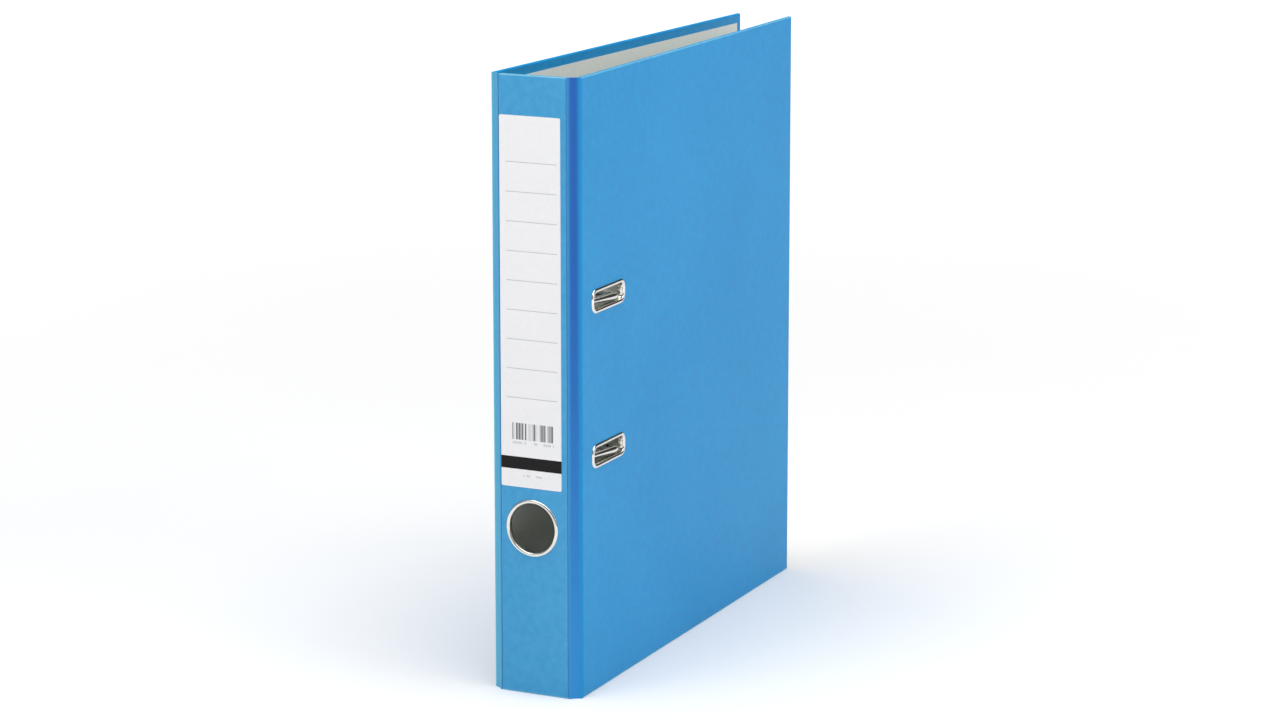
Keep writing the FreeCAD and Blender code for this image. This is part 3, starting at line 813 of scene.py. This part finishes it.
def thumb_grip():
    low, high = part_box("lever_grip")
    size = high - low
    form = bmesh.new()
    bmesh.ops.create_cube(form, size=1)
    bmesh.ops.scale(form, verts=form.verts, vec=(size.x - rib_height, size.y, size.z))
    bmesh.ops.bevel(
        form, geom=list(form.edges), offset=grip_round, segments=round_steps, profile=0.5,
        affect="EDGES", material=-1,
    )
    bottom = -size.z / 2
    cuts = [bottom + grip_round + rib_pitch * (step + 0.5) / 2 for step in range(2 * rib_count)]
    for cut in cuts:
        whole = list(form.verts) + list(form.edges) + list(form.faces)
        bmesh.ops.bisect_plane(form, geom=whole, plane_co=(0, 0, cut), plane_no=(0, 0, 1))
    ribs = flat_top_faces(form, list(zip(cuts[::2], cuts[1::2])))
    bmesh.ops.inset_individual(form, faces=ribs, thickness=rib_inset, depth=rib_height)
    for vertex in form.verts:
        share = min(1, max(0, (vertex.co.z - bottom) / size.z))
        vertex.co.y *= tip_taper + (1 - tip_taper) * share
    clean(form)
    middle = (low + high) / 2
    bmesh.ops.translate(form, verts=form.verts, vec=(middle.x - rib_height / 2, middle.y, middle.z))
    return form


new_piece("ribbed_thumb_grip", thumb_grip(), grip_black, "lever", "lever_grip", 40)

# %% [markdown]
# ## The floor
#
# The file stands on a plain white floor, as on a studio's light table. A white surface
# that only reflects goes grey where the lamps are far away, so the floor also gives a little
# light of its own. That light starts outside the file and grows with the distance from it:
# near the file it would wash out the soft shadow and light the inside from below.

# %% Floor
floor_reach = 6.0
glow_starts, glow_full = 0.25, 3.0
no_glow = (0.0, 0.0, 0.0, 1.0)
far_glow = (0.8, 0.8, 0.8, 1.0)


def floor_paint():
    recipe = Recipe("floor_white", roughness=0.75, emission_strength=1.0)
    colour = recipe.mix(recipe.noise(3.0), srgb(246, 246, 246), srgb(249, 249, 249))
    away = recipe.add("ShaderNodeVectorMath", {"operation": "LENGTH"}, [recipe.place], "Value")
    emission = recipe.mix(away.ramp_between(glow_starts, glow_full), no_glow, far_glow)
    return recipe.feed(base_color=colour, emission_color=emission)


form = bmesh.new()
bmesh.ops.create_grid(form, x_segments=4, y_segments=4, size=floor_reach)
floor = mesh_object("studio_floor", form, floor_paint())
print("floor:", floor.name, "reaches", floor_reach, "m each way")

# %% [markdown]
# ## The room's light
#
# Blender's world is both what is seen behind the object and a light from every side. A Light
# Path node parts the two: a ray from the camera finds plain white, and any other ray finds
# the light. That light is brighter in front than behind, so the open inside of the file
# stays in shade. In the direction that the spine and the rings reflect, it is dimmed, as is
# done in a studio with a dark card called a flag. Without it the varnish looks milky and
# the nickel has no dark line to show its curve.

# %% World
world = bpy.data.worlds.new("studio")
bpy.context.scene.world = world
world.use_nodes = True
backdrop_strength = 1.0
front_strength = 0.3
rear_strength = 0.05
flag_strength = 0.22
flag_towards = Vector((0.46, -0.88, 0.1))
flag_edge, flag_full = 0.45, 0.9


def link_world():
    tree = world.node_tree
    sky = tree.nodes["Background"]

    def node(kind, **settings):
        made = tree.nodes.new(kind)
        for key, value in settings.items():
            setattr(made, key, value)
        return made

    def span(source, low, high, start, end):
        made = node("ShaderNodeMapRange", interpolation_type="SMOOTHSTEP")
        tree.links.new(source, made.inputs["Value"])
        for key, value in (("From Min", low), ("From Max", high), ("To Min", start), ("To Max", end)):
            if isinstance(value, bpy.types.NodeSocket):
                tree.links.new(value, made.inputs[key])
            else:
                made.inputs[key].default_value = value
        return made.outputs["Result"]

    direction = node("ShaderNodeTexCoord").outputs["Generated"]
    split = node("ShaderNodeSeparateXYZ")
    tree.links.new(direction, split.inputs[0])
    round_light = span(split.outputs["Y"], -0.5, 0.7, front_strength, rear_strength)
    towards = node("ShaderNodeVectorMath", operation="DOT_PRODUCT")
    tree.links.new(direction, towards.inputs[0])
    towards.inputs[1].default_value = flag_towards.normalized()
    lighting = span(towards.outputs["Value"], flag_edge, flag_full, round_light, flag_strength)
    choose = node("ShaderNodeMix")
    tree.links.new(node("ShaderNodeLightPath").outputs["Is Camera Ray"], choose.inputs["Factor"])
    tree.links.new(lighting, choose.inputs["A"])
    choose.inputs["B"].default_value = backdrop_strength
    tree.links.new(choose.outputs["Result"], sky.inputs["Strength"])
    sky.inputs["Color"].default_value = (1.0, 1.0, 1.0, 1.0)


link_world()
print("world light in front, behind and at the flag:", front_strength, rear_strength, flag_strength)

# %% [markdown]
# ## Lamps
#
# Three square lamps do the rest, all large so that their shadows are soft. The one overhead
# is the main light and whitens the floor. The other two are weak: one faces the spine, and
# one the front cover, which would otherwise be darker than the spine. The Standard view
# keeps printed colours as they are, where a filmic one would soften the blue.

# %% Lamps
def soft_lamp(name, place, aim, size, watts):
    lamp = bpy.data.lights.new(name, "AREA")
    lamp.size = size
    lamp.energy = watts
    made = bpy.data.objects.new(name, lamp)
    made.location = place
    made.rotation_euler = (Vector(aim) - Vector(place)).to_track_quat("-Z", "Y").to_euler()
    bpy.context.scene.collection.objects.link(made)
    return made


middle = (cad_bounds[0] + cad_bounds[1]) / 2
soft_lamp("overhead_lamp", place=(0.1, -0.3, 2.4), aim=(0.0, 0.0, 0.0), size=3.0, watts=80)
soft_lamp("spine_lamp", place=(-0.9, -1.6, 1.1), aim=middle, size=1.0, watts=3)
soft_lamp("cover_lamp", place=(1.8, 0.0, 1.0), aim=middle, size=1.2, watts=8.5)
bpy.context.scene.view_settings.view_transform = "Standard"
print("lamps:", [light.name for light in bpy.data.lights])

# %% [markdown]
# ## The camera
#
# The camera stands to the right of the spine, so that the spine and the front cover both
# show, and a little above the file, so that the gap at its top does. It is about two metres
# away with a long lens: from nearer by, the upright edges would lean together.

# %% Camera
eye = Vector((0.9155, -1.6796, 0.5707))   # from the foot of the spine's face, at its middle
turn = math.radians(26.99)   # to the left of +Y
drop = math.radians(11.71)   # below the horizon
spine_low, spine_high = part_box("spine_covering")
foot = Vector(((spine_low.x + spine_high.x) / 2, spine_low.y, 0))
camera_data = bpy.data.cameras.new("camera")
camera_data.lens = 109.45   # mm, over Blender's 36 mm sensor
camera = bpy.data.objects.new("camera", camera_data)
camera.location = foot + eye
look = Vector((-math.sin(turn) * math.cos(drop), math.cos(turn) * math.cos(drop), -math.sin(drop)))
camera.rotation_euler = look.to_track_quat("-Z", "Y").to_euler()
bpy.context.scene.collection.objects.link(camera)
bpy.context.scene.camera = camera
print("camera at", [round(v, 3) for v in camera.location])

# %% [markdown]
